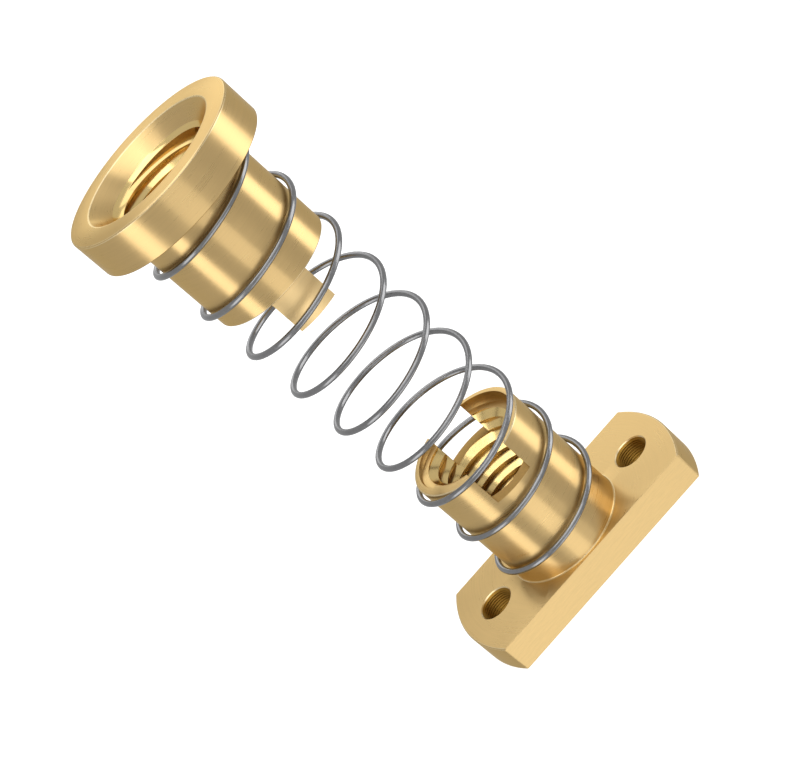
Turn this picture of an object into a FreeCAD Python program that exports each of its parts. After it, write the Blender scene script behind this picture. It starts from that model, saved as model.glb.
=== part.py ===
import FreeCAD, Part
import math
import os

# Spring-loaded lead screw nut: a flanged nut, a follower nut and a compression spring between them.
# Millimetres. The origin is the centre of the flange's underside, on the screw's axis.
# +Z runs up the screw towards the follower nut, X runs through the two mounting holes.
os.makedirs("parts", exist_ok=True)

# Screw thread: both nuts are bored to the thread's crest radius
thread_crest_radius = 3.55

# Flange with two flats
flange_radius = 11.35
flange_across_flats = 10.8
flange_thickness = 2.8
flange_edge_break = 0.12

# Tapped mounting holes
hole_spacing = 16.0
tapping_radius = 1.325
hole_mouth_radius = 1.56

# Barrels, alike on both nuts
barrel_radius = 5.15
barrel_edge_break = 0.1
barrel_root_fillet = 0.15
flange_nut_height = 14.6
flange_nut_foot_radius = 4.5

# Flange nut's open end: a short steep wall down to the shallow ledge where the thread starts
mouth_radius = 4.7
mouth_floor_radius = 4.5
mouth_depth = 0.45
mouth_ledge_drop = 0.3

# Slots across the flange nut's open end, and the follower's tongues that slide in them
tongue_width = 3.5
tongue_length = 3.27
tongue_outer_radius = 4.55
slot_side_clearance = 0.05
slot_depth = 3.05
slot_width = tongue_width + 2 * slot_side_clearance
slot_floor_height = flange_nut_height - slot_depth

# Follower nut, where it stands with the spring at its free length
follower_top_height = 47.87
disc_radius = 7.7
disc_thickness = 3.14
disc_edge_break = 0.12
follower_barrel_length = 9.05
disc_underside_height = follower_top_height - disc_thickness
follower_foot_height = disc_underside_height - follower_barrel_length
tongue_end_height = follower_foot_height - tongue_length

# Follower's entry: a wide countersink, a steeper polished band, a short relief, then the thread
countersink_radius = 5.86
countersink_floor_radius = 4.62
countersink_depth = 1.15
relief_radius = 4.35
band_depth = 0.3
relief_depth = 0.28
relief_floor_drop = 0.3

# Spring: right-hand, with plain ends ground flat on the flange and on the disc
wire_radius = 0.25
wire_sides = 12
coil_radius = 5.58
coil_pitch = 4.649
coil_start_angle = 43.4
runs_per_turn = 24


def point(radius, height):
    """A point of a turned profile, in the XZ plane."""
    return FreeCAD.Vector(radius, 0, height)


def turned(corners):
    """Solid of revolution about the screw's axis from the corners of a half section."""
    profile = Part.makePolygon(corners + [corners[0]])
    face = Part.Face(profile)
    return face.revolve(FreeCAD.Vector(0, 0, 0), FreeCAD.Vector(0, 0, 1), 360)


def cross_bar(width, bottom, top):
    """Block along Y of the given width in X, from one height to another."""
    length = 4 * flange_radius
    corner = FreeCAD.Vector(-width / 2, -length / 2, bottom)
    return Part.makeBox(width, length, top - bottom, corner)


def tapped_hole(x):
    """Cutter for one tapping hole with its two countersunk mouths."""
    depth = hole_mouth_radius - tapping_radius
    centre = FreeCAD.Vector(x, 0, 0)
    drill = Part.makeCylinder(tapping_radius, flange_thickness, centre)
    lower = Part.makeCone(hole_mouth_radius, tapping_radius, depth, centre)
    top = FreeCAD.Vector(x, 0, flange_thickness - depth)
    upper = Part.makeCone(tapping_radius, hole_mouth_radius, depth, top)
    return drill.fuse([lower, upper])


def edges_where(shape, keep):
    """Edges of a shape whose middle point passes a test."""
    found = []
    for edge in shape.Edges:
        middle = edge.valueAt((edge.FirstParameter + edge.LastParameter) / 2)
        if keep(middle):
            found.append(edge)
    return found


# Flange nut: the flange is turned as a full disc, then cut to its two flats
flange = Part.makeCylinder(flange_radius, flange_thickness)
flats_block = Part.makeBox(
    4 * flange_radius,
    flange_across_flats,
    flange_thickness,
    FreeCAD.Vector(-2 * flange_radius, -flange_across_flats / 2, 0),
)
flange = flange.common(flats_block)
flange = flange.makeChamfer(flange_edge_break, flange.Edges)

barrel = Part.makeCylinder(barrel_radius, flange_nut_height)
flange_nut = flange.fuse(barrel).removeSplitter()


# The barrel meets the flange in a small turned fillet
def at_barrel_root(middle):
    """Whether a point lies on the circle where the barrel meets the flange."""
    radius = math.hypot(middle.x, middle.y)
    on_circle = abs(radius - barrel_radius) < 0.01
    return on_circle and abs(middle.z - flange_thickness) < 0.01


flange_nut = flange_nut.makeFillet(
    barrel_root_fillet, edges_where(flange_nut, at_barrel_root)
)


# The open end's outer edge is broken before the slots are cut
def at_open_rim(middle):
    """Whether a point lies on the open end's outer edge."""
    return abs(middle.z - flange_nut_height) < 0.01


flange_nut = flange_nut.makeChamfer(
    barrel_edge_break, edges_where(flange_nut, at_open_rim)
)

# Bore, with the ledge above and a 45 degree countersink below
foot_depth = flange_nut_foot_radius - thread_crest_radius
mouth_floor = flange_nut_height - mouth_depth
flange_nut_bore = turned(
    [
        point(0, 0),
        point(flange_nut_foot_radius, 0),
        point(thread_crest_radius, foot_depth),
        point(thread_crest_radius, mouth_floor - mouth_ledge_drop),
        point(mouth_floor_radius, mouth_floor),
        point(mouth_radius, flange_nut_height),
        point(0, flange_nut_height),
    ]
)
flange_nut = flange_nut.cut(flange_nut_bore)

# Two opposite slots, milled in one pass across the open end
slots = cross_bar(slot_width, slot_floor_height, flange_nut_height + 1)
flange_nut = flange_nut.cut(slots)

# Tapped holes, one on each side of the barrel
for side in (-1, 1):
    flange_nut = flange_nut.cut(tapped_hole(side * hole_spacing / 2))
flange_nut.exportStep("parts/flange_nut.step")

# Follower nut: disc and barrel are one turned section, with broken edges
follower = turned(
    [
        point(0, follower_foot_height),
        point(barrel_radius - barrel_edge_break, follower_foot_height),
        point(barrel_radius, follower_foot_height + barrel_edge_break),
        point(barrel_radius, disc_underside_height),
        point(disc_radius - disc_edge_break, disc_underside_height),
        point(disc_radius, disc_underside_height + disc_edge_break),
        point(disc_radius, follower_top_height - disc_edge_break),
        point(disc_radius - disc_edge_break, follower_top_height),
        point(0, follower_top_height),
    ]
)

# Two opposite tongues carry on below the barrel, on a smaller radius
tongue_root_height = follower_foot_height + tongue_length
tongue_sleeve = Part.makeCylinder(
    tongue_outer_radius,
    tongue_root_height - tongue_end_height,
    FreeCAD.Vector(0, 0, tongue_end_height),
)
tongues = tongue_sleeve.common(
    cross_bar(tongue_width, tongue_end_height, tongue_root_height)
)
follower = follower.fuse(tongues).removeSplitter()

# Entry and bore, cut through to the ends of the tongues
countersink_floor = follower_top_height - countersink_depth
band_floor = countersink_floor - band_depth
relief_floor = band_floor - relief_depth
thread_start = relief_floor - relief_floor_drop
follower_bore = turned(
    [
        point(0, tongue_end_height),
        point(thread_crest_radius, tongue_end_height),
        point(thread_crest_radius, thread_start),
        point(relief_radius, relief_floor),
        point(relief_radius, band_floor),
        point(countersink_floor_radius, countersink_floor),
        point(countersink_radius, follower_top_height),
        point(0, follower_top_height),
    ]
)
follower = follower.cut(follower_bore)
follower.exportStep("parts/follower_nut.step")

# Spring: a wire run along a right-hand helix between the two faces that it bears on.
# The helix is a chain of short straight runs with mitred joints, and the wire has many flats,
# which keeps so long and thin a solid light.
free_length = disc_underside_height - flange_thickness
run_count = math.ceil(free_length / coil_pitch * runs_per_turn)
run_rise = free_length / run_count
run_turn = 360 * run_rise / coil_pitch


def on_helix(step):
    """Point of the wire's centre line after a number of straight runs."""
    angle = math.radians(coil_start_angle + step * run_turn)
    return FreeCAD.Vector(
        coil_radius * math.cos(angle),
        coil_radius * math.sin(angle),
        flange_thickness + step * run_rise,
    )


def wire_outline(centre, along):
    """Closed many-sided outline of the wire, square to its direction."""
    inward = FreeCAD.Vector(-centre.x, -centre.y, 0).normalize()
    upward = along.cross(inward).normalize()
    corners = []
    for side in range(wire_sides + 1):
        angle = 2 * math.pi * side / wire_sides
        across = inward * (wire_radius * math.cos(angle))
        above = upward * (wire_radius * math.sin(angle))
        corners.append(centre + across + above)
    return Part.makePolygon(corners)


centre_line = [on_helix(step) for step in range(run_count + 1)]
first_run = centre_line[1] - centre_line[0]
outline = wire_outline(centre_line[0], first_run)
mitred = 1
spring = Part.makePolygon(centre_line).makePipeShell([outline], True, False, mitred)

# Both ends are ground flat where the wire passes the flange and the disc
grinding_room = 4 * wire_radius
for face_height in (flange_thickness - grinding_room, disc_underside_height):
    ground_off = Part.makeCylinder(
        2 * coil_radius, grinding_room, FreeCAD.Vector(0, 0, face_height)
    )
    spring = spring.cut(ground_off)
spring.exportStep("parts/spring.step")
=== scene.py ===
"""Looks of a spring-loaded lead screw nut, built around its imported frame.

The nut is two turned brass pieces held apart by a steel spring. Both brass
pieces and the spring are rebuilt here with their real threads, rounded edges
and turned finish, and each stands for the frame's plain solid of the same name.
"""

import logging
import math
from collections.abc import Callable, Iterable
from dataclasses import dataclass, field
from enum import Enum

import bmesh
import bpy
from mathutils import Matrix, Vector


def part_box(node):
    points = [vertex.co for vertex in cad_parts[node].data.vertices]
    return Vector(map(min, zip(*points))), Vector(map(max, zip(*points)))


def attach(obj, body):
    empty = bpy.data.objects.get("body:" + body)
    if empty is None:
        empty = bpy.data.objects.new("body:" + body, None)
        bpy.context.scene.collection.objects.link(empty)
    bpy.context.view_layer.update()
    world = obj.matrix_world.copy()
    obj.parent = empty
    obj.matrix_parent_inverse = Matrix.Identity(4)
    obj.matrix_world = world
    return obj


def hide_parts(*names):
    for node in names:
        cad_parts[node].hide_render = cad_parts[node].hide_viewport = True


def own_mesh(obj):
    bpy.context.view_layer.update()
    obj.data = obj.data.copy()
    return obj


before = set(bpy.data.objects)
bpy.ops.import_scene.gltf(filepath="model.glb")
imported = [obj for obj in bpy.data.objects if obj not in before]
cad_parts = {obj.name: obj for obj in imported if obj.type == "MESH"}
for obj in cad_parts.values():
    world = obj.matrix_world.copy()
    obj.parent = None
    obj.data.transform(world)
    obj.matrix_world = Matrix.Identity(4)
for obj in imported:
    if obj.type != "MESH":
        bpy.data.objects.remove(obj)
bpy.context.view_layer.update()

MM = 0.001
UP = Vector((0.0, 0.0, 1.0))
WHITE = (1.0, 1.0, 1.0, 1.0)

# Faces narrower than this, in millimetres, belong to a rounded edge
EDGE_WIDTH = 0.065
# Points nearer than this become one, in a new shape and in a finished piece
WELD_WIDTH = 0.0001
LAST_WELD_WIDTH = 0.0002
# A face's middle that is nearer than this to a radius counts as lying on it
MARGIN = 0.01

# How far up a face's normal points, from 0 on a wall to 1 on a level face
LEVEL = 0.9
FLANK = 0.5
WALL = 0.3

# Patterns of a metal finish: tool marks or specks, mixed with soft clouds
MARK_SHARE = 0.65
MARK_DETAIL = 3.0
MARK_ROUGHNESS = 0.6
MARK_STRETCH = 0.12
MARKS_ROUND_THE_AXIS = 2.0
SPECK_DETAIL = 4.0
CLOUD_SHARE = 0.35
CLOUD_DETAIL = 3.0
CLOUDS_PER_MM = 0.35
ROUGHNESS_RANGE = (0.3, 0.7)
SHADE_RANGE = (0.35, 0.6)

Socket = bpy.types.NodeSocket
Point = tuple[float, float]
Triple = tuple[float, float, float]

log = logging.getLogger("lead_screw_nut")


class Body(Enum):
    """Bodies of the frame that pieces ride on."""

    FLANGE_NUT = "flange_nut"
    FOLLOWER_NUT = "follower_nut"


class Slot(Enum):
    """Material slots of the part's record."""

    BRASS = "brass"
    SPRING_STEEL = "spring_steel"


class Surface(Enum):
    """Kinds of surface on a brass piece, and the place of each one's finish."""

    TURNED = 0
    THREAD = 1
    MILLED = 2
    # Dark finish of slots, ledge walls and undersides: painted shade
    CUT = 3
    # Lighter finish of rounded edges and hole rims: a painted highlight
    EDGE = 4
    # Dark finish of the mounting holes: painted shade
    TAPPED = 5
    # Lighter, rougher finish of the tongues' outer faces
    SLIDING = 6


class Grain(Enum):
    """Which way the fine tool marks of a finish run."""

    ROUND_THE_AXIS = "round the axis"
    ALONG_THE_FLAT = "along the flat"
    NONE = "none"


# Finishes


@dataclass
class ShaderSheet:
    """A node sheet of one material, with short ways to add and join nodes."""

    material: bpy.types.Material

    def node(self, kind: str, **settings: object) -> bpy.types.ShaderNode:
        """Add a node.

        Args:
            kind: Blender's name of the node's type.
            **settings: Properties to set on it.

        Returns:
            The new node.
        """
        made = self.material.node_tree.nodes.new(kind)
        for key, value in settings.items():
            setattr(made, key, value)
        return made

    def link(self, source: Socket, target: Socket) -> None:
        """Join one node's output to another's input."""
        self.material.node_tree.links.new(source, target)

    def feed(self, value: Socket | float, target: Socket) -> None:
        """Set an input to a number, or join it to another node's output.

        Args:
            value: The number or the output.
            target: The input.
        """
        if isinstance(value, (int, float)):
            target.default_value = value
        else:
            self.link(value, target)

    def math(
        self, operation: str, first: Socket | float, second: Socket | float = 0.0
    ) -> Socket:
        """Add a Math node.

        Args:
            operation: Blender's name of the operation.
            first: An output or a number.
            second: An output or a number.

        Returns:
            The node's output.
        """
        made = self.node("ShaderNodeMath", operation=operation)
        self.feed(first, made.inputs[0])
        self.feed(second, made.inputs[1])
        return made.outputs[0]

    def vector(self, *parts: Socket | float) -> Socket:
        """Combine three values into a vector.

        Args:
            *parts: Three outputs or numbers.

        Returns:
            The vector.
        """
        made = self.node("ShaderNodeCombineXYZ")
        for part, target in zip(parts, made.inputs):
            self.feed(part, target)
        return made.outputs[0]

    def scaled(self, place: Socket, per_mm: float) -> Socket:
        """Scale coordinates to a pattern with so many cells per millimetre.

        Args:
            place: Coordinates in metres.
            per_mm: Number of cells per millimetre.

        Returns:
            The scaled coordinates.
        """
        made = self.node("ShaderNodeVectorMath", operation="SCALE")
        self.link(place, made.inputs[0])
        made.inputs["Scale"].default_value = per_mm / MM
        return made.outputs[0]

    def noise(
        self,
        place: Socket,
        detail: float,
        roughness: float = 0.5,
        fourth: Socket | None = None,
    ) -> Socket:
        """Add a noise pattern of unit scale.

        Args:
            place: Where the pattern is read.
            detail: How many finer layers it has.
            roughness: How strong the finer layers are.
            fourth: A fourth coordinate, where the pattern needs one.

        Returns:
            The pattern's value, about 0.5 on average.
        """
        made = self.node("ShaderNodeTexNoise")
        if fourth is not None:
            made.noise_dimensions = "4D"
            self.link(fourth, made.inputs["W"])
        made.inputs["Scale"].default_value = 1.0
        made.inputs["Detail"].default_value = detail
        made.inputs["Roughness"].default_value = roughness
        self.link(place, made.inputs["Vector"])
        return made.outputs["Fac"]

    def ramp(self, value: Socket, source: Point, target: Point) -> Socket:
        """Map a value from one range to another, held at the ends.

        Args:
            value: The value.
            source: Low and high end of the range that it has.
            target: Low and high end of the range that it gets.

        Returns:
            The mapped value.
        """
        made = self.node("ShaderNodeMapRange", clamp=True)
        self.link(value, made.inputs["Value"])
        made.inputs["From Min"].default_value = source[0]
        made.inputs["From Max"].default_value = source[1]
        made.inputs["To Min"].default_value = target[0]
        made.inputs["To Max"].default_value = target[1]
        return made.outputs["Result"]


@dataclass(frozen=True)
class MetalFinish:
    """A bare metal surface with fine tool marks.

    Attributes:
        name: Name of the material.
        colour: Linear colour of the metal.
        shade: How much darker its dullest spots are, as a share.
        roughness: Mean roughness.
        roughness_spread: How far the roughness wanders.
        marks_per_mm: How fine the tool marks are.
        mark_depth: Height of the tool marks in metres.
        grain: Which way the tool marks run.
        anisotropy: How far the tool marks draw out the highlights.
        edge_tint: Colour that it keeps where it is seen at a low angle.
    """

    name: str
    colour: Triple
    shade: float
    roughness: float
    roughness_spread: float
    marks_per_mm: float
    mark_depth: float = 1e-6
    grain: Grain = Grain.NONE
    anisotropy: float = 0.0
    edge_tint: Triple = (0.97, 0.87, 0.64)

    def material(self) -> bpy.types.Material:
        """Build the material of this finish.

        Returns:
            A new node-based material on Object coordinates.
        """
        made = bpy.data.materials.new(self.name)
        made.use_nodes = True
        sheet = ShaderSheet(made)
        shader = made.node_tree.nodes["Principled BSDF"]
        shader.inputs["Metallic"].default_value = 1.0
        shader.inputs["Specular Tint"].default_value = (*self.edge_tint, 1.0)
        shader.inputs["Anisotropic"].default_value = self.anisotropy
        place = sheet.node("ShaderNodeTexCoord").outputs["Object"]
        marks, tangent = self._grain(sheet, place)
        if tangent is not None:
            sheet.link(tangent, shader.inputs["Tangent"])
        cloud = sheet.noise(sheet.scaled(place, CLOUDS_PER_MM), CLOUD_DETAIL)
        mixed = sheet.math(
            "ADD",
            sheet.math("MULTIPLY", marks, MARK_SHARE),
            sheet.math("MULTIPLY", cloud, CLOUD_SHARE),
        )
        low = self.roughness - self.roughness_spread
        high = self.roughness + self.roughness_spread
        uneven = sheet.ramp(mixed, ROUGHNESS_RANGE, (low, high))
        sheet.link(uneven, shader.inputs["Roughness"])
        self._tint(sheet, mixed, shader)
        bump = sheet.node("ShaderNodeBump")
        bump.inputs["Strength"].default_value = 1.0
        bump.inputs["Distance"].default_value = self.mark_depth
        sheet.link(marks, bump.inputs["Height"])
        sheet.link(bump.outputs["Normal"], shader.inputs["Normal"])
        return made

    def _tint(
        self, sheet: ShaderSheet, pattern: Socket, shader: bpy.types.ShaderNode
    ) -> None:
        """Let the metal's colour wander a little with the pattern.

        Args:
            sheet: The material's node sheet.
            pattern: The pattern's value.
            shader: The node that gets the colour.
        """
        mix = sheet.node("ShaderNodeMix", data_type="RGBA")
        dull = tuple(part * (1.0 - self.shade) for part in self.colour)
        colours = [each for each in mix.inputs if each.type == "RGBA"]
        colours[0].default_value = (*dull, 1.0)
        colours[1].default_value = (*self.colour, 1.0)
        sheet.link(sheet.ramp(pattern, SHADE_RANGE, (0.0, 1.0)), mix.inputs[0])
        outputs = [each for each in mix.outputs if each.type == "RGBA"]
        sheet.link(outputs[0], shader.inputs["Base Color"])

    def _grain(
        self, sheet: ShaderSheet, place: Socket
    ) -> tuple[Socket, Socket | None]:
        """Draw the tool marks.

        Args:
            sheet: The material's node sheet.
            place: Object coordinates.

        Returns:
            The marks' height from 0 to 1, and the direction across the marks
            where the finish has one.
        """
        if self.grain is Grain.NONE:
            specks = sheet.scaled(place, self.marks_per_mm)
            return sheet.noise(specks, SPECK_DETAIL), None
        parts = sheet.node("ShaderNodeSeparateXYZ")
        sheet.link(place, parts.inputs[0])
        if self.grain is Grain.ALONG_THE_FLAT:
            return self._milled_marks(sheet, *parts.outputs)
        return self._turned_marks(sheet, *parts.outputs)

    def _milled_marks(
        self, sheet: ShaderSheet, x: Socket, y: Socket, z: Socket
    ) -> tuple[Socket, Socket]:
        """Draw marks that run along X.

        Args:
            sheet: The material's node sheet.
            x: First of the Object coordinates.
            y: Second of them.
            z: Third of them.

        Returns:
            The marks' height from 0 to 1, and the direction across them.
        """
        fine = self.marks_per_mm / MM
        stretched = sheet.vector(
            sheet.math("MULTIPLY", x, MARK_STRETCH * fine),
            sheet.math("MULTIPLY", y, fine),
            sheet.math("MULTIPLY", z, fine),
        )
        marks = sheet.noise(stretched, MARK_DETAIL, MARK_ROUGHNESS)
        return marks, sheet.vector(0.0, 0.0, 1.0)

    def _turned_marks(
        self, sheet: ShaderSheet, x: Socket, y: Socket, z: Socket
    ) -> tuple[Socket, Socket]:
        """Draw marks that run round the screw's axis, with no seam.

        Args:
            sheet: The material's node sheet.
            x: First of the Object coordinates.
            y: Second of them.
            z: Third of them.

        Returns:
            The marks' height from 0 to 1, and the direction across them.
        """
        fine = self.marks_per_mm / MM
        squares = sheet.math(
            "ADD", sheet.math("MULTIPLY", x, x), sheet.math("MULTIPLY", y, y)
        )
        radius = sheet.math("SQRT", squares)
        cosine = sheet.math("DIVIDE", x, radius)
        sine = sheet.math("DIVIDE", y, radius)
        stretched = sheet.vector(
            sheet.math("MULTIPLY", radius, fine),
            sheet.math("MULTIPLY", z, fine),
            sheet.math("MULTIPLY", sine, MARKS_ROUND_THE_AXIS),
        )
        fourth = sheet.math("MULTIPLY", cosine, MARKS_ROUND_THE_AXIS)
        marks = sheet.noise(stretched, MARK_DETAIL, MARK_ROUGHNESS, fourth)
        around = sheet.vector(sheet.math("MULTIPLY", sine, -1.0), cosine, 0.0)
        geometry = sheet.node("ShaderNodeNewGeometry")
        across = sheet.node("ShaderNodeVectorMath", operation="CROSS_PRODUCT")
        sheet.link(around, across.inputs[0])
        sheet.link(geometry.outputs["Normal"], across.inputs[1])
        return marks, across.outputs[0]


BRASS_FINISHES = {
    Surface.TURNED: MetalFinish(
        name="turned_brass",
        colour=(0.74, 0.52, 0.232),
        shade=0.07,
        roughness=0.3,
        roughness_spread=0.05,
        marks_per_mm=9.0,
        grain=Grain.ROUND_THE_AXIS,
        anisotropy=0.8,
    ),
    Surface.THREAD: MetalFinish(
        name="polished_brass",
        colour=(0.94, 0.69, 0.29),
        shade=0.05,
        roughness=0.16,
        roughness_spread=0.03,
        marks_per_mm=12.0,
        grain=Grain.ROUND_THE_AXIS,
        anisotropy=0.2,
    ),
    Surface.MILLED: MetalFinish(
        name="milled_brass",
        colour=(0.725, 0.515, 0.232),
        shade=0.1,
        roughness=0.35,
        roughness_spread=0.06,
        marks_per_mm=7.0,
        mark_depth=1.5e-6,
        grain=Grain.ALONG_THE_FLAT,
        anisotropy=0.4,
    ),
    # Dark brass of the slots, the undersides of the thread's ridges, the ledge
    # walls and the edge under the disc: its dark colour is painted shade in
    # these recesses
    Surface.CUT: MetalFinish(
        name="shaded_cut_brass",
        colour=(0.45, 0.275, 0.095),
        shade=0.2,
        roughness=0.34,
        roughness_spread=0.05,
        marks_per_mm=6.0,
    ),
    # Lighter brass of rounded edges and hole rims: a painted highlight along
    # each edge
    Surface.EDGE: MetalFinish(
        name="edge_highlight_brass",
        colour=(0.90, 0.72, 0.42),
        shade=0.15,
        roughness=0.3,
        roughness_spread=0.06,
        marks_per_mm=5.0,
    ),
    # Dark brass inside the tapped holes: painted shade in the holes
    Surface.TAPPED: MetalFinish(
        name="shaded_tapped_brass",
        colour=(0.36, 0.195, 0.034),
        shade=0.15,
        roughness=0.42,
        roughness_spread=0.05,
        marks_per_mm=6.0,
    ),
    # Lighter, rougher brass on the tongues' outer faces
    Surface.SLIDING: MetalFinish(
        name="light_tongue_brass",
        colour=(0.98, 0.725, 0.36),
        shade=0.04,
        roughness=0.44,
        roughness_spread=0.03,
        marks_per_mm=9.0,
        mark_depth=5e-7,
        grain=Grain.ROUND_THE_AXIS,
        anisotropy=0.4,
    ),
}
DRAWN_STEEL = MetalFinish(
    name="drawn_steel",
    colour=(0.30, 0.30, 0.305),
    shade=0.12,
    roughness=0.2,
    roughness_spread=0.05,
    marks_per_mm=4.0,
    mark_depth=2e-6,
    edge_tint=(1.0, 1.0, 1.0),
)


# Mesh helpers


def new_object(
    name: str, bm: bmesh.types.BMesh, materials: list[bpy.types.Material]
) -> bpy.types.Object:
    """Turn a bmesh into an object at the origin, in the bmesh's own units.

    Args:
        name: The piece's name.
        bm: The shape, which is freed.
        materials: The object's material slots.

    Returns:
        The new object, linked to the scene.
    """
    mesh = bpy.data.meshes.new(name)
    bm.to_mesh(mesh)
    bm.free()
    made = bpy.data.objects.new(name, mesh)
    for material in materials:
        mesh.materials.append(material)
    bpy.context.scene.collection.objects.link(made)
    return made


def paint(
    faces: Iterable[bmesh.types.BMFace],
    surface: Surface,
    chosen: Callable[[bmesh.types.BMFace], bool] | None = None,
) -> None:
    """Give faces the finish of a kind of surface.

    Args:
        faces: The faces.
        surface: The kind of surface.
        chosen: A test that picks some of them, where not all are painted.
    """
    for face in faces:
        if chosen is None or chosen(face):
            face.material_index = surface.value


def off_axis(face: bmesh.types.BMFace) -> float:
    """Distance of a face's middle from the Z axis."""
    return face.calc_center_median().xy.length


def is_narrow(face: bmesh.types.BMFace) -> bool:
    """Whether a face is as narrow as those of a rounded edge."""
    return min(edge.calc_length() for edge in face.edges) < EDGE_WIDTH


def turned_solid(
    outline: list[Point], segments: int, surface: Surface
) -> bmesh.types.BMesh:
    """Spin a closed half section about the Z axis.

    Args:
        outline: Radius and height of each corner in millimetres, in order.
        segments: Number of steps in a full turn.
        surface: Kind of surface that every face gets, apart from the narrow
            ones of a rounded edge.

    Returns:
        A closed solid.
    """
    bm = bmesh.new()
    corners = [bm.verts.new((r, 0.0, z)) for r, z in outline]
    edges = [
        bm.edges.new((corner, corners[index - 1]))
        for index, corner in enumerate(corners)
    ]
    bmesh.ops.spin(
        bm,
        geom=corners + edges,
        cent=(0, 0, 0),
        axis=UP,
        angle=2 * math.pi,
        steps=segments,
        use_merge=True,
        use_duplicate=False,
    )
    bmesh.ops.remove_doubles(bm, verts=bm.verts, dist=WELD_WIDTH)
    bmesh.ops.recalc_face_normals(bm, faces=bm.faces)
    paint(bm.faces, surface)
    # Narrow faces of rounded edges get the lighter edge finish: a painted
    # highlight along each edge
    paint(bm.faces, Surface.EDGE, is_narrow)
    return bm


def wind(bm: bmesh.types.BMesh, turns: float, rise: float, steps: int) -> None:
    """Wind a flat section up the Z axis.

    Args:
        bm: The section, with nothing beside it.
        turns: Length of the run in turns.
        rise: Rise of the whole run in millimetres.
        steps: Number of straight steps in it.
    """
    bmesh.ops.spin(
        bm,
        geom=bm.verts[:] + bm.edges[:] + bm.faces[:],
        cent=(0, 0, 0),
        axis=UP,
        dvec=UP * (rise / steps),
        angle=2 * math.pi * turns,
        steps=steps,
        use_merge=False,
        use_duplicate=False,
    )


def block(low: Triple, high: Triple, surface: Surface) -> bmesh.types.BMesh:
    """Make a box between two corners given in millimetres.

    Args:
        low: Lowest corner.
        high: Highest corner.
        surface: Kind of surface that every face gets.

    Returns:
        A closed solid.
    """
    bm = bmesh.new()
    size = [b - a for a, b in zip(low, high)]
    centre = [(a + b) / 2 for a, b in zip(low, high)]
    matrix = Matrix.Translation(centre) @ Matrix.Diagonal((*size, 1.0))
    bmesh.ops.create_cube(bm, size=1.0, matrix=matrix)
    paint(bm.faces, surface)
    return bm


def cut_flat(
    bm: bmesh.types.BMesh, point: Vector, outward: Vector
) -> list[bmesh.types.BMFace]:
    """Cut a shape off at a plane and close the cut.

    Args:
        bm: The shape.
        point: A point of the plane.
        outward: Side of the plane that is cut away.

    Returns:
        The faces that close the cut.
    """
    cut = bmesh.ops.bisect_plane(
        bm,
        geom=bm.verts[:] + bm.edges[:] + bm.faces[:],
        plane_co=point,
        plane_no=outward,
        clear_outer=True,
    )
    rim = [
        each for each in cut["geom_cut"] if isinstance(each, bmesh.types.BMEdge)
    ]
    return bmesh.ops.holes_fill(bm, edges=rim, sides=0)["faces"]


def cut_away(body: bpy.types.Object, tool: bpy.types.Object) -> None:
    """Cut a tool's shape out of a body, and delete the tool.

    Args:
        body: The object whose mesh changes.
        tool: The cutter.
    """
    modifier = body.modifiers.new("cut_away", "BOOLEAN")
    modifier.operation = "DIFFERENCE"
    modifier.object = tool
    modifier.solver = "EXACT"
    bpy.context.view_layer.update()
    shaped = body.evaluated_get(bpy.context.evaluated_depsgraph_get())
    mesh = bpy.data.meshes.new_from_object(shaped)
    body.modifiers.clear()
    old = body.data
    mesh.name = body.name
    body.data = mesh
    bpy.data.meshes.remove(old)
    bpy.data.objects.remove(tool)


def finish_mesh(body: bpy.types.Object, sharp_degrees: float) -> None:
    """Clean a piece's mesh, choose its crisp edges and bring it to metres.

    Args:
        body: The piece, modelled in millimetres.
        sharp_degrees: Edges that turn more than this stay crisp.
    """
    bm = bmesh.new()
    bm.from_mesh(body.data)
    bmesh.ops.remove_doubles(bm, verts=bm.verts, dist=LAST_WELD_WIDTH)
    bmesh.ops.dissolve_degenerate(bm, edges=bm.edges, dist=WELD_WIDTH)
    limit = math.radians(sharp_degrees)
    for face in bm.faces:
        face.smooth = True
    for edge in bm.edges:
        edge.smooth = edge.calc_face_angle(0.0) < limit
    bmesh.ops.scale(bm, verts=bm.verts, vec=(MM, MM, MM))
    bm.to_mesh(body.data)
    bm.free()
    weighted = body.modifiers.new("even_normals", "WEIGHTED_NORMAL")
    weighted.keep_sharp = True
    weighted.mode = "FACE_AREA"


def rounded(
    before: Point, corner: Point, after: Point, radius: float, steps: int = 3
) -> list[Point]:
    """Round one corner of an outline.

    Args:
        before: The point before the corner.
        corner: The corner.
        after: The point after the corner.
        radius: Radius of the rounding.
        steps: Number of chords in the rounding.

    Returns:
        The points that take the corner's place.
    """
    here = Vector(corner)
    back = (Vector(before) - here).normalized()
    onward = (Vector(after) - here).normalized()
    half = back.angle(onward) / 2
    reach = radius / math.tan(half)
    centre = here + (back + onward).normalized() * (radius / math.sin(half))
    first = here + back * reach - centre
    last = here + onward * reach - centre
    points = []
    for step in range(steps + 1):
        ray = first.lerp(last, step / steps).normalized() * radius
        points.append(tuple(centre + ray))
    return points


def rounded_outline(corners: list[Triple]) -> list[Point]:
    """Make an outline from its corners and their roundings.

    Args:
        corners: Radius and height of each corner in millimetres, in order,
            and the radius of its rounding, where 0 leaves it sharp.

    Returns:
        Radius and height of each point of the outline.
    """
    points: list[Point] = []
    for index, (radius, height, rounding) in enumerate(corners):
        corner = (radius, height)
        if rounding:
            before = corners[index - 1][:2]
            after = corners[(index + 1) % len(corners)][:2]
            points += rounded(before, corner, after, rounding)
        else:
            points.append(corner)
    return points


# Threads and helices


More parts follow.
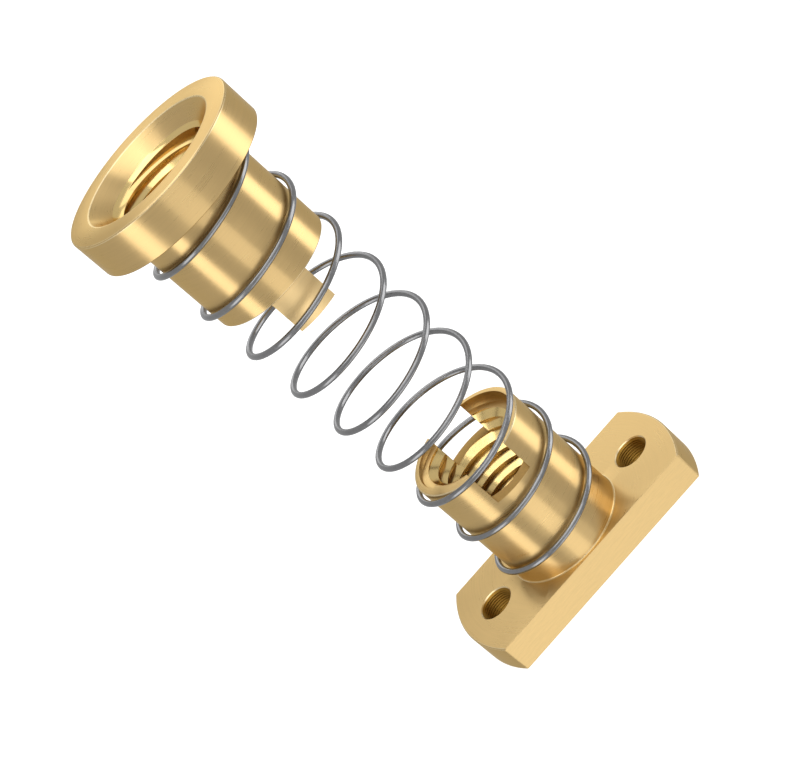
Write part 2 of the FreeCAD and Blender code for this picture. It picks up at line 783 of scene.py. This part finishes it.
@dataclass(frozen=True)
class Helix:
    """A helical run of one flat section about the Z axis.

    Attributes:
        lead: Rise in one full turn, in millimetres.
        from_angle: Angle in degrees where the run starts.
        from_height: Height in millimetres where it starts.
        turns: Length of the run in turns.
        steps_per_turn: Steps of the mesh in one turn.
    """

    lead: float
    from_angle: float
    from_height: float
    turns: float
    steps_per_turn: int = 100

    def sweep(self, section: list[Point], surface: Surface) -> bmesh.types.BMesh:
        """Sweep a section along the run.

        Args:
            section: Radius and height of each corner in millimetres, with
                heights counted from the run's own height.
            surface: Kind of surface that every face gets.

        Returns:
            A closed solid.
        """
        bm = bmesh.new()
        bm.faces.new(
            [bm.verts.new((r, 0, self.from_height + z)) for r, z in section]
        )
        steps = max(1, round(self.turns * self.steps_per_turn))
        wind(bm, self.turns, self.lead * self.turns, steps)
        bmesh.ops.rotate(
            bm,
            verts=bm.verts,
            cent=(0, 0, 0),
            matrix=Matrix.Rotation(math.radians(self.from_angle), 3, "Z"),
        )
        bmesh.ops.recalc_face_normals(bm, faces=bm.faces)
        paint(bm.faces, surface)
        return bm


@dataclass(frozen=True)
class ScrewThread:
    """A screw thread as its cutter leaves it in a nut.

    Attributes:
        crest_radius: Radius of the bore between the grooves, in millimetres.
        root_radius: Radius of the groove's floor.
        lead: Rise of a groove in one turn.
        mouth_width: Width of the groove at the bore.
        floor_width: Width of the groove's floor.
        starts: Number of grooves side by side.
        steps_per_turn: Steps of the mesh in one turn.
        cutter_overlap: How far the cutter reaches inside the bore.
        screwed_on: Degrees by which the cutter is screwed on, which keeps its
            steps off those of the bore.
    """

    crest_radius: float
    root_radius: float
    lead: float
    mouth_width: float
    floor_width: float
    starts: int = 1
    steps_per_turn: int = 100
    cutter_overlap: float = 0.03
    screwed_on: float = 1.3

    def ridges(self, low: float, high: float) -> list[bmesh.types.BMesh]:
        """Make the ridges that cut the grooves.

        Args:
            low: Height in millimetres where the cut starts.
            high: Height where it ends.

        Returns:
            One helical solid for each start. A groove's middle crosses the
            +X side at whole leads, so that pieces cut by one thread run on
            one screw.
        """
        depth = self.root_radius - self.crest_radius
        slope = (self.mouth_width - self.floor_width) / depth
        inner = self.crest_radius - self.cutter_overlap
        inner_width = self.mouth_width + slope * self.cutter_overlap
        section = [
            (inner, -inner_width / 2),
            (self.root_radius, -self.floor_width / 2),
            (self.root_radius, self.floor_width / 2),
            (inner, inner_width / 2),
        ]
        cutters = []
        for start in range(self.starts):
            begin = (low // self.lead + start / self.starts) * self.lead
            run = Helix(
                lead=self.lead,
                from_angle=self.screwed_on,
                from_height=begin + self.screwed_on / 360 * self.lead,
                turns=(high - begin) / self.lead,
                steps_per_turn=self.steps_per_turn,
            )
            cutter = run.sweep(section, Surface.THREAD)
            # Faces that face down in the nut, under each ridge, get the dark
            # finish: painted shade
            paint(cutter.faces, Surface.CUT, lambda face: face.normal.z > FLANK)
            cutters.append(cutter)
        return cutters


# The three pieces


@dataclass
class BrassPiece:
    """What both nuts share: their barrel, their thread and their finishes.

    Sizes are in millimetres. Cutters reach past a face by the overcut, and
    those of the entries reach inside the bore to a share of its radius.
    """

    name: str
    body: Body
    finishes: list[bpy.types.Material]
    barrel_radius: float = 5.15
    thread: ScrewThread = ScrewThread(
        crest_radius=3.55,
        root_radius=4.1,
        lead=2.2,
        mouth_width=1.06,
        floor_width=0.04,
        starts=2,
    )
    segments: int = 192
    sharp_degrees: float = 32.0
    overcut: float = 1.0
    share_of_bore: float = 0.95

    @property
    def inside_bore(self) -> float:
        """Radius where the cutters of the entries end."""
        return self.thread.crest_radius * self.share_of_bore

    def cut(self, nut: bpy.types.Object, shape: bmesh.types.BMesh) -> None:
        """Cut a shape out of the nut, which takes on the shape's finishes."""
        cut_away(nut, new_object("tool", shape, self.finishes))

    def cut_thread(
        self, nut: bpy.types.Object, low: float, high: float
    ) -> None:
        """Cut the lead screw's grooves from one height to another."""
        for ridge in self.thread.ridges(low, high):
            self.cut(nut, ridge)

    def dress(self, piece: bpy.types.Object) -> bpy.types.Object:
        """Finish the piece's edges and hang it on its body, in place of the
        frame's solid.

        Args:
            piece: The finished shape.

        Returns:
            The same piece.
        """
        finish_mesh(piece, self.sharp_degrees)
        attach(piece, self.body.value)
        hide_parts(self.body.value)
        return piece


@dataclass
class FlangeNut(BrassPiece):
    """The nut with the mounting flange, two flats and two slots.

    Sizes are in millimetres. Its height and the flats come from the frame. The
    flange's radius is a trace under the frame's, to stay inside its box.
    """

    height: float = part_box("flange_nut")[1][2] / MM
    flange_radius: float = 11.345
    half_across_flats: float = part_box("flange_nut")[1][1] / MM
    flange_thickness: float = 2.8
    flange_edge: float = 0.12
    rim_edge: float = 0.1
    root_fillet: float = 0.12
    foot_radius: float = 4.5
    foot_edge: float = 0.04
    mouth_radius: float = 4.3
    mouth_depth: float = 0.4
    mouth_edge: float = 0.05
    lead_in_radius: float = 4.7
    lead_in_height: float = 2.5
    lead_in_taper: float = 0.15
    lead_in_taper_height: float = 0.3
    lead_in: Helix = Helix(
        lead=2.2, from_angle=-80.0, from_height=12.9, turns=0.8
    )
    slot_width: float = 3.6
    slot_depth: float = 3.05
    hole_spacing: float = 16.0
    hole_mouth_radius: float = 1.56
    hole_rim_width: float = 0.08
    hole_overcut: float = 0.5
    hole_segments: int = 64
    hole_thread: ScrewThread = ScrewThread(
        crest_radius=1.325,
        root_radius=1.42,
        lead=0.22,
        mouth_width=0.18,
        floor_width=0.04,
        steps_per_turn=41,
        cutter_overlap=0.01,
    )

    def build(self) -> bpy.types.Object:
        """Build the whole nut.

        Returns:
            The dressed piece.
        """
        bm = turned_solid(self.outline(), self.segments, Surface.TURNED)
        self.mill_flats(bm)
        bore = self.thread.crest_radius + MARGIN
        paint(bm.faces, Surface.THREAD, lambda face: off_axis(face) < bore)
        nut = new_object(self.name, bm, self.finishes)
        for side in (-1, 1):
            self.tap_hole(nut, side * self.hole_spacing / 2)
        self.cut(nut, self.slots())
        self.cut(nut, self.entry())
        self.cut_thread(nut, -self.overcut, self.height + self.overcut)
        return self.dress(nut)

    def outline(self) -> list[Point]:
        """Draw the half section of flange, barrel and bore.

        Returns:
            A closed outline.
        """
        bore = self.thread.crest_radius
        flange = self.flange_radius
        flange_top = self.flange_thickness
        barrel = self.barrel_radius
        return rounded_outline([
            (self.foot_radius, 0, self.foot_edge),
            (flange, 0, self.flange_edge),
            (flange, flange_top, self.flange_edge),
            (barrel, flange_top, self.root_fillet),
            (barrel, self.height, self.rim_edge),
            (self.mouth_radius, self.height, self.mouth_edge),
            (bore, self.height - self.mouth_depth, 0),
            (bore, self.foot_radius - bore, 0),
        ])

    def mill_flats(self, bm: bmesh.types.BMesh) -> None:
        """Cut the two flats of the flange and round their edges.

        Args:
            bm: The turned blank.
        """
        for side in (-1, 1):
            outward = Vector((0, side, 0))
            flat = cut_flat(bm, outward * self.half_across_flats, outward)
            paint(flat, Surface.MILLED)
            bevel = bmesh.ops.bevel(
                bm,
                geom=[edge for face in flat for edge in face.edges],
                offset=self.flange_edge / 2,
                offset_type="OFFSET",
                affect="EDGES",
                segments=2,
                profile=0.5,
                material=-1,
            )
            paint(bevel["faces"], Surface.MILLED)
        bmesh.ops.recalc_face_normals(bm, faces=bm.faces)

    def tap_hole(self, nut: bpy.types.Object, x: float) -> None:
        """Drill, countersink and tap one mounting hole.

        Args:
            nut: The piece to cut.
            x: The hole's place along X.
        """
        thread = self.hole_thread
        depth = self.hole_mouth_radius - thread.crest_radius
        rim = self.hole_mouth_radius - self.hole_rim_width
        top = self.flange_thickness
        past = self.hole_overcut
        outline = [
            (0, -past),
            (self.hole_mouth_radius + past, -past),
            (rim, self.hole_rim_width),
            (thread.crest_radius, depth),
            (thread.crest_radius, top - depth),
            (rim, top - self.hole_rim_width),
            (self.hole_mouth_radius + past, top + past),
            (0, top + past),
        ]
        # The hole's wall gets the dark finish, painted shade inside the hole;
        # its countersunk rim gets the lighter edge finish, a painted highlight
        drill = turned_solid(outline, self.hole_segments, Surface.TAPPED)
        paint(drill.faces, Surface.EDGE, lambda face: off_axis(face) > rim)
        taps = thread.ridges(-thread.lead, top + thread.lead)
        # The hole's thread gets the same dark finish: painted shade inside the
        # hole
        for tap in taps:
            paint(tap.faces, Surface.TAPPED)
        for cutter in (drill, *taps):
            bmesh.ops.translate(cutter, verts=cutter.verts, vec=(x, 0, 0))
            self.cut(nut, cutter)

    def slots(self) -> bmesh.types.BMesh:
        """Make the cutter of the two slots across the open end.

        Returns:
            A bar along Y, as wide as a slot.
        """
        half = self.slot_width / 2
        reach = self.barrel_radius + self.overcut
        low = (-half, -reach, self.height - self.slot_depth)
        high = (half, reach, self.height + self.overcut)
        # The slots' walls and floors get the dark finish: painted shade in the
        # slots
        return block(low, high, Surface.CUT)

    def entry(self) -> bmesh.types.BMesh:
        """Make the cutter of the helical ledge where the screw enters.

        Returns:
            A helical solid.
        """
        inner = self.inside_bore
        wall = self.lead_in_radius
        section = [
            (inner, 0),
            (wall - self.lead_in_taper, 0),
            (wall, self.lead_in_taper_height),
            (wall, self.lead_in_height),
            (inner, self.lead_in_height),
        ]
        cutter = self.lead_in.sweep(section, Surface.THREAD)
        # The ledge's walls get the dark finish, painted shade; its floor gets
        # the turned finish
        paint(cutter.faces, Surface.CUT, lambda face: face.normal.z < LEVEL)
        paint(cutter.faces, Surface.TURNED, lambda face: face.normal.z < -LEVEL)
        return cutter


@dataclass
class FollowerNut(BrassPiece):
    """The nut with the disc, the wide countersink and two tongues.

    Sizes are in millimetres. Its top, its lowest point and its disc's radius
    come from the frame.
    """

    top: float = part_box("follower_nut")[1][2] / MM
    tongue_end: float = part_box("follower_nut")[0][2] / MM
    disc_radius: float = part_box("follower_nut")[1][0] / MM
    disc_thickness: float = 3.14
    disc_edge: float = 0.12
    disc_under_edge: float = 0.05
    root_fillet: float = 0.08
    barrel_length: float = 9.05
    barrel_edge: float = 0.1
    tongue_width: float = 3.5
    tongue_radius: float = 4.55
    tongue_edge: float = 0.04
    countersink_radius: float = 5.86
    countersink_edge: float = 0.2
    countersink_floor_radius: float = 4.62
    countersink_depth: float = 1.15
    relief_radius: float = 4.35
    band_depth: float = 0.3
    ledge_drop: float = 0.3
    ledge_height: float = 0.9
    ledge_inset: float = 0.05
    sinking_ledge: Helix = Helix(
        lead=2.4, from_angle=20.0, from_height=45.7, turns=0.39
    )
    rising_ledge: Helix = Helix(
        lead=-4.0, from_angle=-60.0, from_height=46.59, turns=0.2222
    )

    def build(self) -> bpy.types.Object:
        """Build the whole nut.

        Returns:
            The dressed piece.
        """
        bm = turned_solid(self.outline(), self.segments, Surface.TURNED)
        self.paint_blank(bm)
        nut = new_object(self.name, bm, self.finishes)
        for side in (-1, 1):
            self.cut(nut, self.beside_tongues(side))
        for ledge in (self.sinking_ledge, self.rising_ledge):
            self.cut(nut, self.shoulder(ledge))
        self.cut_thread(nut, self.tongue_end - self.overcut, self.top)
        return self.dress(nut)

    @property
    def disc_underside(self) -> float:
        """Height of the disc's underside."""
        return self.top - self.disc_thickness

    @property
    def foot(self) -> float:
        """Height of the barrel's lower end."""
        return self.disc_underside - self.barrel_length

    def outline(self) -> list[Point]:
        """Draw the half section of disc, barrel, bore and tongues' sleeve.

        Returns:
            A closed outline.
        """
        bore = self.thread.crest_radius
        band = self.top - self.countersink_depth
        relief = band - self.band_depth
        return rounded_outline([
            (self.tongue_radius, self.tongue_end, self.tongue_edge),
            (self.tongue_radius, self.foot, 0),
            (self.barrel_radius, self.foot, self.barrel_edge),
            (self.barrel_radius, self.disc_underside, self.root_fillet),
            (self.disc_radius, self.disc_underside, self.disc_under_edge),
            (self.disc_radius, self.top, self.disc_edge),
            (self.countersink_radius, self.top, self.countersink_edge),
            (self.countersink_floor_radius, band, 0),
            (self.relief_radius, relief, 0),
            (bore, relief - self.ledge_drop, 0),
            (bore, self.tongue_end, self.tongue_edge),
        ])

    def paint_blank(self, bm: bmesh.types.BMesh) -> None:
        """Paint the sleeve, the bore, and the edge under the disc dark as a
        painted shadow line.

        Args:
            bm: The turned blank.
        """
        inside = self.countersink_floor_radius - MARGIN
        for face in bm.faces:
            centre = face.calc_center_median()
            radius = centre.xy.length
            faces_inward = face.normal.xy.dot(centre.xy) < 0
            # The rounded edge under the disc gets the dark finish: a painted
            # shadow line where the disc meets the barrel
            if 0 < centre.z - self.disc_underside < self.disc_under_edge:
                face.material_index = Surface.CUT.value
            # The tongues' outer faces get a lighter, rougher brass
            if centre.z < self.foot and radius > self.relief_radius:
                face.material_index = Surface.SLIDING.value
            if radius < inside and faces_inward:
                face.material_index = Surface.THREAD.value

    def beside_tongues(self, side: int) -> bmesh.types.BMesh:
        """Make the cutter of the sleeve on one side of the tongues.

        Args:
            side: -1 or 1, for the side towards -X or +X.

        Returns:
            A block as high as the tongues, with the overcut below them.
        """
        near = side * self.tongue_width / 2
        far = side * (self.barrel_radius + self.overcut)
        reach = self.barrel_radius + self.overcut
        low = (min(near, far), -reach, self.tongue_end - self.overcut)
        high = (max(near, far), reach, self.foot)
        return block(low, high, Surface.MILLED)

    def shoulder(self, ledge: Helix) -> bmesh.types.BMesh:
        """Make the cutter that sinks the shoulder where the thread starts.

        Args:
            ledge: The run that the shoulder's ledge follows.

        Returns:
            A helical solid.
        """
        inner = self.inside_bore
        wall = self.relief_radius - self.ledge_inset
        drop = self.ledge_drop * (wall - inner) / (
            self.relief_radius - self.thread.crest_radius
        )
        section = [
            (inner, -drop),
            (wall, 0),
            (wall, self.ledge_height),
            (inner, self.ledge_height),
        ]
        cutter = ledge.sweep(section, Surface.THREAD)
        # The shoulder's walls get the dark finish: painted shade
        paint(cutter.faces, Surface.CUT, lambda face: abs(face.normal.z) < WALL)
        return cutter


@dataclass
class CompressionSpring:
    """The round-wire spring between the flange and the disc.

    Sizes are in millimetres. Its ends are where the frame's spring has them.
    """

    finish: bpy.types.Material
    name: str = "spring_wire"
    joint: str = "follower_slide"
    low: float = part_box("spring")[0][2] / MM
    high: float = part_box("spring")[1][2] / MM
    wire_radius: float = 0.25
    coil_radius: float = 5.58
    pitch: float = 4.649
    start_angle: float = 43.4
    steps_per_turn: int = 64
    wire_segments: int = 16
    sharp_degrees: float = 40.0

    @property
    def length(self) -> float:
        """Length from one ground end to the other."""
        return self.high - self.low

    def build(self) -> bpy.types.Object:
        """Build the spring, with both ends ground flat.

        Returns:
            The dressed piece.
        """
        bm = bmesh.new()
        rise = math.atan2(self.pitch, 2 * math.pi * self.coil_radius)
        place = (
            Matrix.Rotation(math.radians(self.start_angle), 4, "Z")
            @ Matrix.Translation((self.coil_radius, 0, self.low))
            @ Matrix.Rotation(math.pi / 2 + rise, 4, "X")
        )
        bmesh.ops.create_circle(
            bm,
            cap_ends=True,
            radius=self.wire_radius,
            segments=self.wire_segments,
            matrix=place,
        )
        turns = self.length / self.pitch
        wind(bm, turns, self.length, round(turns * self.steps_per_turn))
        bmesh.ops.recalc_face_normals(bm, faces=bm.faces)
        cut_flat(bm, UP * self.low, -UP)
        cut_flat(bm, UP * self.high, UP)
        spring = new_object(self.name, bm, [self.finish])
        finish_mesh(spring, self.sharp_degrees)
        return self.dress(spring)

    def dress(self, spring: bpy.types.Object) -> bpy.types.Object:
        """Hang the spring on the flange nut's body, in place of the frame's
        spring, with a mesh of its own.

        Args:
            spring: The finished shape.

        Returns:
            The same piece.
        """
        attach(spring, Body.FLANGE_NUT.value)
        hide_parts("spring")
        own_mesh(spring)
        return spring


# The studio


@dataclass(frozen=True)
class Softbox:
    """A rectangular studio light that faces the object.

    Attributes:
        name: The light's name.
        azimuth: Its bearing from the object in degrees, from +X towards +Y.
        elevation: Its height above the horizon in degrees.
        size: Its width and height in metres.
        radiance: How bright it looks, where 1 is a white floor.
        distance: Its distance in metres.
    """

    name: str
    azimuth: float
    elevation: float
    size: Point
    radiance: float
    distance: float = 1.0

    def add(self, aim: Vector) -> None:
        """Add the light to the scene.

        Args:
            aim: The point it faces.
        """
        data = bpy.data.lights.new(self.name, "AREA")
        data.shape = "RECTANGLE"
        data.size, data.size_y = self.size
        data.energy = self.radiance * math.pi * self.size[0] * self.size[1]
        light = bpy.data.objects.new(self.name, data)
        bearing = math.radians(self.azimuth)
        rise = math.radians(self.elevation)
        away = Vector((
            math.cos(rise) * math.cos(bearing),
            math.cos(rise) * math.sin(bearing),
            math.sin(rise),
        ))
        light.location = aim + away * self.distance
        light.rotation_euler = away.to_track_quat("Z", "Y").to_euler()
        bpy.context.scene.collection.objects.link(light)


@dataclass
class Studio:
    """Pale floor, soft lights and the camera at the photograph's angle.

    The floor's size, the aim and the clipping are in metres, and the camera's
    distance and lens in millimetres. Its bearing runs from -Y towards -X.
    """

    floor_size: float = 12.0
    floor_colour: float = 0.5
    floor_roughness: float = 0.9
    floor_shine: float = 0.1
    floor_glow: float = 0.8
    backdrop: float = 0.95
    sky: float = 0.56
    aim: Vector = field(default_factory=lambda: Vector((0.13, 0.0, 22.02)) * MM)
    camera_distance: float = 148.15
    camera_azimuth: float = -0.386
    camera_elevation: float = 25.989
    camera_roll: float = -48.657
    focal_length: float = 89.11
    sensor_width: float = 36.0
    clip_range: Point = (0.005, 50.0)
    softboxes: tuple[Softbox, ...] = (
        Softbox("left_strip", -156.0, -7.0, (0.42, 1.15), 1.4),
        Softbox("right_strip", -5.0, -2.0, (0.52, 1.35), 1.65),
        Softbox("front_card", -80.0, 32.0, (1.0, 0.5), 0.6),
        Softbox("front_bounce", -90.0, -56.0, (0.9, 0.5), 0.9),
        Softbox("low_bounce", -95.0, -27.0, (0.5, 0.3), 1.3),
        Softbox("front_top", -97.0, 63.0, (1.1, 0.4), 1.55),
        Softbox("overhead", 30.0, 86.0, (0.65, 0.65), 1.4),
        Softbox("back_top", 78.0, 54.0, (0.75, 0.5), 0.8),
        Softbox("back_low", 80.0, 22.0, (0.4, 0.45), 0.82),
        Softbox("left_top", -150.0, 58.0, (0.4, 0.4), 0.3),
    )

    def build(self) -> None:
        """Build the floor, the sky, the lights and the camera."""
        self.floor()
        self.world()
        for softbox in self.softboxes:
            softbox.add(self.aim)
        self.camera()
        bpy.context.scene.view_settings.view_transform = "Standard"

    def floor(self) -> None:
        """Lay the pale floor that the flange stands on."""
        bm = bmesh.new()
        bmesh.ops.create_grid(
            bm, x_segments=1, y_segments=1, size=self.floor_size / 2
        )
        coat = bpy.data.materials.new("floor_paint")
        coat.use_nodes = True
        shader = coat.node_tree.nodes["Principled BSDF"]
        grey = self.floor_colour
        shader.inputs["Base Color"].default_value = (grey, grey, grey, 1.0)
        shader.inputs["Roughness"].default_value = self.floor_roughness
        shader.inputs["Specular IOR Level"].default_value = self.floor_shine
        shader.inputs["Emission Color"].default_value = WHITE
        shader.inputs["Emission Strength"].default_value = self.floor_glow
        floor = new_object("studio_floor", bm, [coat])
        floor.visible_glossy = False
        floor.visible_diffuse = False
        floor.visible_shadow = False

    def world(self) -> None:
        """Fill the room with weak light and hang a pale backdrop behind it."""
        world = bpy.data.worlds.new("studio_sky")
        world.use_nodes = True
        tree = world.node_tree
        fill = tree.nodes["Background"]
        fill.inputs["Color"].default_value = WHITE
        fill.inputs["Strength"].default_value = self.sky
        backdrop = tree.nodes.new("ShaderNodeBackground")
        backdrop.inputs["Color"].default_value = WHITE
        backdrop.inputs["Strength"].default_value = self.backdrop
        rays = tree.nodes.new("ShaderNodeLightPath")
        mix = tree.nodes.new("ShaderNodeMixShader")
        tree.links.new(rays.outputs["Is Camera Ray"], mix.inputs[0])
        tree.links.new(fill.outputs[0], mix.inputs[1])
        tree.links.new(backdrop.outputs[0], mix.inputs[2])
        output = tree.nodes["World Output"]
        tree.links.new(mix.outputs[0], output.inputs["Surface"])
        bpy.context.scene.world = world

    def camera(self) -> None:
        """Place the camera as the photograph was taken, rolled to one side."""
        data = bpy.data.cameras.new("camera")
        data.sensor_width = self.sensor_width
        data.lens = self.focal_length
        data.clip_start, data.clip_end = self.clip_range
        bearing = math.radians(self.camera_azimuth)
        rise = math.radians(self.camera_elevation)
        away = Vector((
            -math.sin(bearing) * math.cos(rise),
            -math.cos(bearing) * math.cos(rise),
            math.sin(rise),
        ))
        camera = bpy.data.objects.new("camera", data)
        level = away.to_track_quat("Z", "Y").to_matrix().to_4x4()
        roll = Matrix.Rotation(math.radians(self.camera_roll), 4, "Z")
        place = self.aim + away * self.camera_distance * MM
        camera.matrix_world = Matrix.Translation(place) @ level @ roll
        bpy.context.scene.collection.objects.link(camera)
        bpy.context.scene.camera = camera


def main() -> None:
    """Build the nut and its studio."""
    logging.basicConfig(level=logging.INFO, format="%(message)s")
    brass = [BRASS_FINISHES[surface].material() for surface in Surface]
    steel = DRAWN_STEEL.material()
    makers = (
        FlangeNut("flange_nut_body", Body.FLANGE_NUT, brass),
        FollowerNut("follower_nut_body", Body.FOLLOWER_NUT, brass),
        CompressionSpring(steel),
    )
    for maker in makers:
        piece = maker.build()
        log.info("%s: %d faces", piece.name, len(piece.data.polygons))
    Studio().build()


if __name__ == "__main__":
    main()
